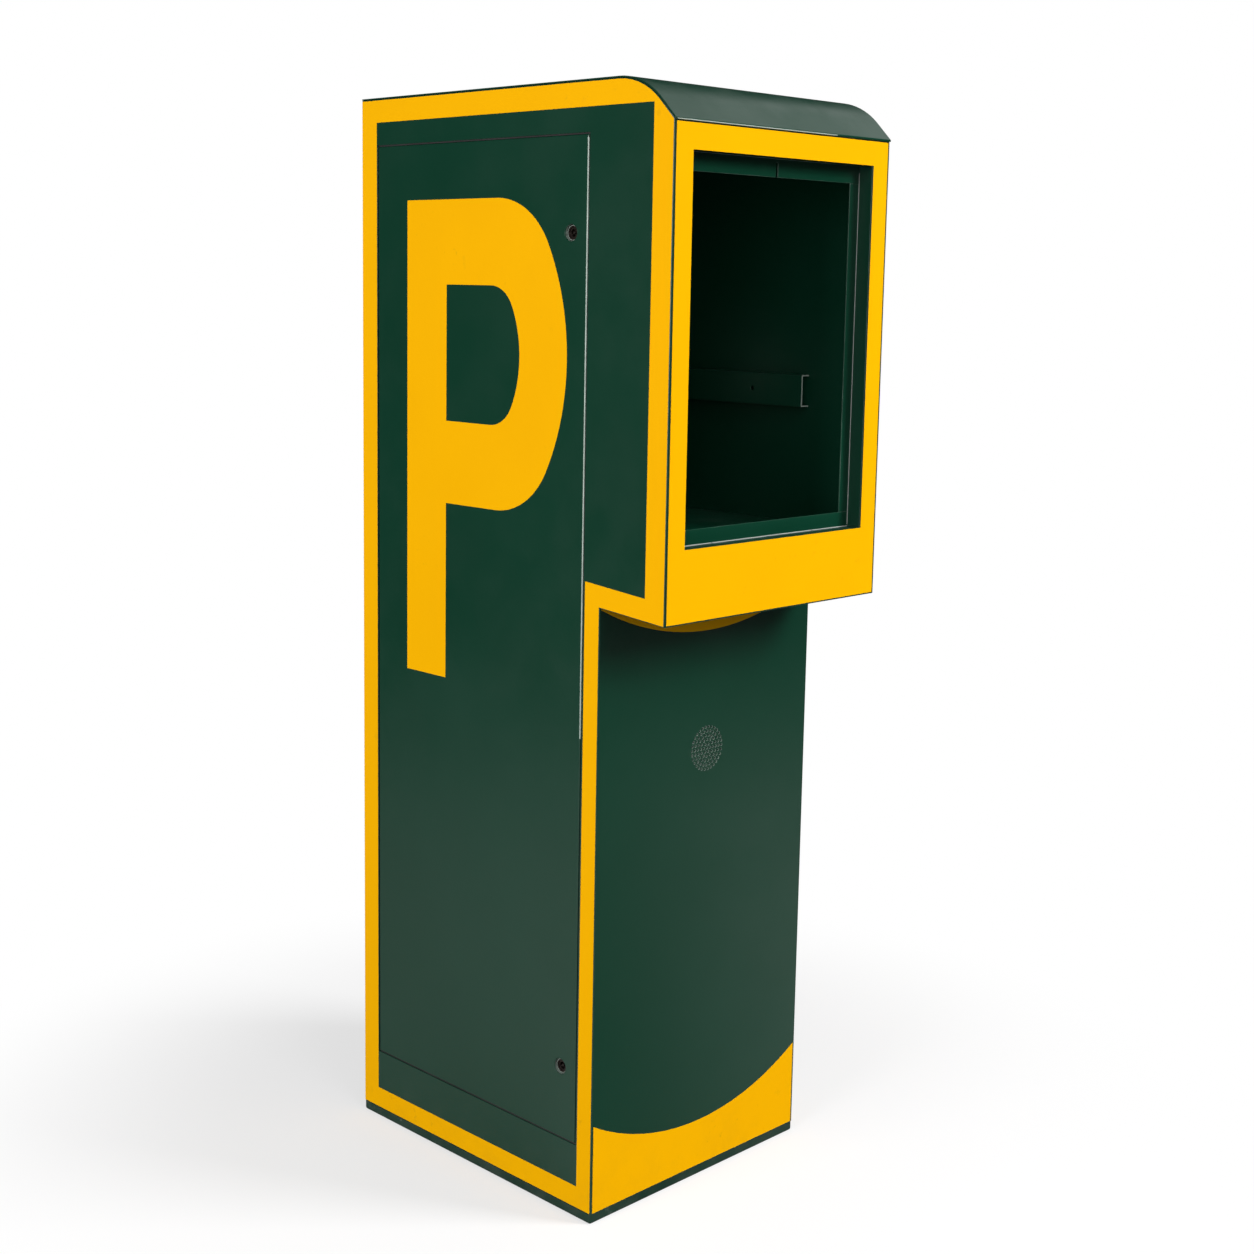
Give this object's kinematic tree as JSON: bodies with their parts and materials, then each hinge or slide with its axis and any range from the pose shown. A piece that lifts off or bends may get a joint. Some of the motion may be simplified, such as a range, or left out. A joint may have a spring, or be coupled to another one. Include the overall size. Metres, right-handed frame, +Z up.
{
  "type": "ticket vending machine cabinet",
  "caption": "Free-standing ticket machine cabinet: pedestal with a forward-standing head, open window, hinged side service door, coin vault, printer and speaker.",
  "frame": {"origin": "centre of the base plate's underside, on the floor", "axes": "+Z up; the head and window face -Y; the service door is on -X"},
  "size_m": [0.4506, 0.647, 1.6],
  "materials": {
    "green_paint": "satin powder coat",
    "plinth_paint": "satin powder coat",
    "yellow_film": "satin self-adhesive film",
    "zinc_steel": "zinc plated",
    "lock_steel": "satin chrome",
    "lock_dark": "blackened",
    "vault_paint": "textured powder coat",
    "seal_rubber": "matt",
    "black_plastic": "fine texture",
    "grey_plastic": "fine texture",
    "aluminium_case": "brushed",
    "basket_metal": "black",
    "paper": "matt"
  },
  "bodies": {
    "cabinet": {"base_plate": "plinth_paint", "battery": "black_plastic", "battery_strap": "seal_rubber", "battery_tray": "zinc_steel", "breaker_body": "grey_plastic", "cable_gland": "black_plastic", "coin_cassette": "vault_paint", "controller_case": "grey_plastic", "din_rail": "zinc_steel", "door_frame": "green_paint", "door_seal": "seal_rubber", "electrics_plate": "zinc_steel", "equipment_floor": "green_paint", "gland_plate": "zinc_steel", "head_front_decal": "yellow_film", "head_front_panel": "green_paint", "head_underside": "green_paint", "hinge_fixed_leaves": "zinc_steel", "hinge_pins": "zinc_steel", "left_border_decal": "yellow_film", "left_side_panel": "green_paint", "mounting_rail": "green_paint", "pedestal_front_decals": "yellow_film", "pedestal_front_panel": "green_paint", "power_supply": "aluminium_case", "printer_bracket": "zinc_steel", "rear_panel": "green_paint", "right_side_decals": "yellow_film", "right_side_panel": "green_paint", "roll_spindle": "zinc_steel", "roof_cover": "green_paint", "speaker_basket": "basket_metal", "speaker_cone": "black_plastic", "speaker_gasket": "seal_rubber", "speaker_screws": "zinc_steel", "terminal_blocks": "grey_plastic", "ticket_printer": "black_plastic", "vault_hinge_pin": "zinc_steel", "vault_housing": "vault_paint", "window_left_angle": "green_paint", "window_right_angle": "green_paint", "window_sill_angle": "green_paint", "window_top_angle": "green_paint"},
    "side_door": {"door_skin": "green_paint", "door_stiffeners": "green_paint", "hinge_door_leaves": "zinc_steel", "lower_lock_housing": "lock_steel", "upper_lock_housing": "lock_steel", "lock_nuts": "zinc_steel", "door_letter_decal": "yellow_film"},
    "upper_lock": {"upper_lock_core": "lock_dark", "upper_lock_cam": "zinc_steel"},
    "lower_lock": {"lower_lock_core": "lock_dark", "lower_lock_cam": "zinc_steel"},
    "vault_door": {"vault_door": "vault_paint"},
    "vault_key": {"vault_key_cylinder": "lock_steel"},
    "breaker_lever": {"breaker_lever": "black_plastic"},
    "platen_roller": {"platen_roller": "seal_rubber"},
    "ticket_roll": {"ticket_roll": "paper"}
  },
  "joints": [
    {"name": "side_door_hinge", "type": "hinge", "parent": "cabinet", "child": "side_door", "pos_m": [-0.218, 0.2105, 0.8205], "axis": [0, 0, -1], "range_deg": [0, 110]},
    {"name": "upper_lock_turn", "type": "hinge", "parent": "side_door", "child": "upper_lock", "pos_m": [-0.225, -0.196, 1.4], "axis": [-1, 0, 0], "range_deg": [0, 90]},
    {"name": "lower_lock_turn", "type": "hinge", "parent": "side_door", "child": "lower_lock", "pos_m": [-0.225, -0.196, 0.219], "axis": [-1, 0, 0], "range_deg": [0, 90]},
    {"name": "vault_door_hinge", "type": "hinge", "parent": "cabinet", "child": "vault_door", "pos_m": [0.013, -0.045, 0.024], "axis": [0, -1, 0], "range_deg": [0, 90]},
    {"name": "vault_key_turn", "type": "hinge", "parent": "vault_door", "child": "vault_key", "pos_m": [0.016, -0.045, 0.215], "axis": [-1, 0, 0], "range_deg": [0, 180]},
    {"name": "breaker_toggle", "type": "hinge", "parent": "cabinet", "child": "breaker_lever", "pos_m": [-0.092, 0.2005, 0.4875], "axis": [1, 0, 0], "range_deg": [-40, 0]},
    {"name": "ticket_roll_spin", "type": "hinge", "parent": "cabinet", "child": "ticket_roll", "pos_m": [-0.055, 0.142, 1.183], "axis": [1, 0, 0], "continuous": true},
    {"name": "platen_spin", "type": "hinge", "parent": "cabinet", "child": "platen_roller", "pos_m": [-0.055, 0.084, 1.082], "axis": [1, 0, 0], "continuous": true}
  ],
  "couplings": [
    {"joint": "platen_spin", "follows": "ticket_roll_spin", "ratio": -10}
  ]
}
